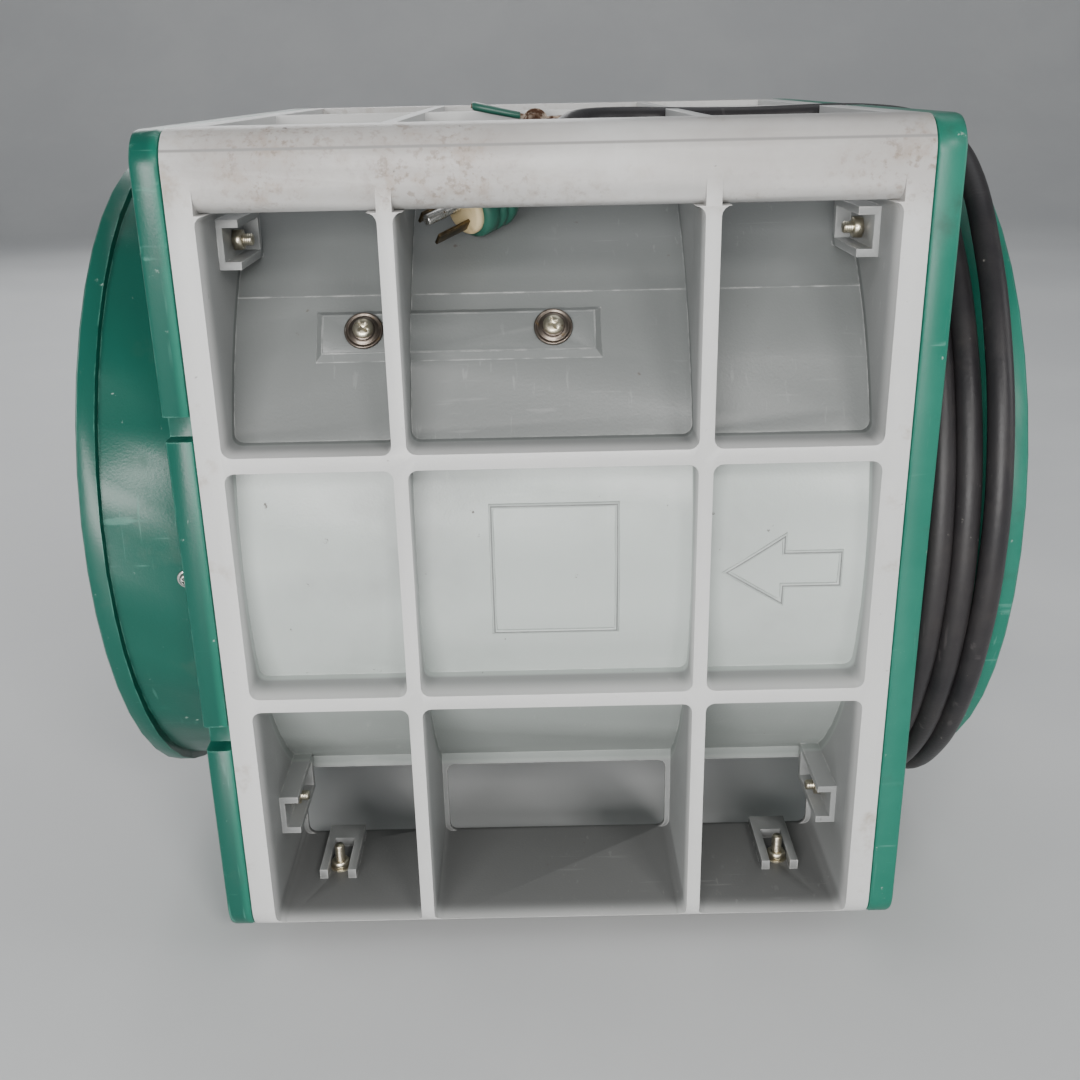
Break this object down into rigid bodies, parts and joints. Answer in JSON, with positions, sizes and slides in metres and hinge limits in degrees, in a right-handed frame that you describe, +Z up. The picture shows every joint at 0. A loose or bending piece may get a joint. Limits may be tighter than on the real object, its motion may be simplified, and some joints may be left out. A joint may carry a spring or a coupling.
{
  "type": "portable axial ventilation fan",
  "caption": "Box-framed portable axial duct fan with hose spigots, wire guards, grip bars and its mains cord wound on the inlet spigot.",
  "frame": {"origin": "middle of the footprint, on the floor under the rubber feet", "axes": "+Z up; +X along the duct towards the air inlet, so air leaves towards -X; -Y is the front face"},
  "size_m": [0.4026, 0.362, 0.3762],
  "materials": {
    "grey_plastic": "satin",
    "green_plastic": "satin",
    "fastener_steel": "zinc plated",
    "black_rubber": "matt",
    "cast_metal": "cast",
    "bracket_steel": "zinc plated",
    "guard_wire": "satin",
    "impeller_plastic": "satin",
    "capacitor_case": "satin",
    "contact_brass": "worn",
    "clip_steel": "rusty",
    "bright_steel": "polished"
  },
  "bodies": {
    "fan_frame": {"housing_front_half": "grey_plastic", "housing_rear_half": "grey_plastic", "outlet_end_plate": "green_plastic", "inlet_end_plate": "green_plastic", "end_plate_bolt_1": "fastener_steel", "end_plate_nut_1": "fastener_steel", "end_plate_bolt_2": "fastener_steel", "end_plate_nut_2": "fastener_steel", "end_plate_bolt_3": "fastener_steel", "end_plate_nut_3": "fastener_steel", "end_plate_bolt_4": "fastener_steel", "end_plate_nut_4": "fastener_steel", "end_plate_bolt_5": "fastener_steel", "end_plate_nut_5": "fastener_steel", "end_plate_bolt_6": "fastener_steel", "end_plate_nut_6": "fastener_steel", "end_plate_bolt_7": "fastener_steel", "end_plate_nut_7": "fastener_steel", "end_plate_bolt_8": "fastener_steel", "end_plate_nut_8": "fastener_steel", "rubber_foot_1": "black_rubber", "foot_screw_and_nut_1": "fastener_steel", "rubber_foot_2": "black_rubber", "foot_screw_and_nut_2": "fastener_steel", "rubber_foot_3": "black_rubber", "foot_screw_and_nut_3": "fastener_steel", "rubber_foot_4": "black_rubber", "foot_screw_and_nut_4": "fastener_steel", "motor_body": "cast_metal", "motor_bell_outlet_side": "cast_metal", "motor_bell_inlet_side": "cast_metal", "shaft_bearing_outlet_side": "bright_steel", "shaft_bearing_inlet_side": "bright_steel", "motor_bracket_front": "bracket_steel", "motor_bracket_rear": "bracket_steel", "bracket_screw_front_1": "fastener_steel", "bracket_screw_front_2": "fastener_steel", "bracket_screw_rear_1": "fastener_steel", "bracket_screw_rear_2": "fastener_steel", "inlet_guard": "guard_wire", "outlet_guard": "guard_wire", "switch_box": "black_rubber", "switch_box_lid": "cast_metal", "run_capacitor": "capacitor_case", "cord_exit_gland": "black_rubber", "cord_coil": "black_rubber", "cord_tail": "black_rubber", "cord_run": "black_rubber", "plug_body": "green_plastic", "plug_blade_1": "contact_brass", "plug_blade_2": "contact_brass", "plug_earth_pin": "bright_steel", "earth_clip_lower_jaw": "clip_steel", "earth_lead": "green_plastic"},
    "fan_rotor": {"motor_shaft_and_rotor": "bright_steel", "impeller": "impeller_plastic", "impeller_nut": "fastener_steel"},
    "switch_lever": {"switch_lever": "bright_steel"},
    "clip_jaw": {"earth_clip_upper_jaw": "clip_steel"}
  },
  "joints": [
    {"name": "impeller_spin", "type": "hinge", "parent": "fan_frame", "child": "fan_rotor", "pos_m": [0, 0, 0.192], "axis": [1, 0, 0], "continuous": true},
    {"name": "switch_lever_tilt", "type": "hinge", "parent": "fan_frame", "child": "switch_lever", "pos_m": [0.093, 0.16, 0.299], "axis": [1, 0, 0], "range_deg": [0, 24]},
    {"name": "clip_jaw_open", "type": "hinge", "parent": "fan_frame", "child": "clip_jaw", "pos_m": [-0.004, -0.02, 0.367], "axis": [0, -1, 0], "range_deg": [0, 15], "stiffness_Nm_per_rad": 0.2, "springref_deg": -11.46}
  ]
}
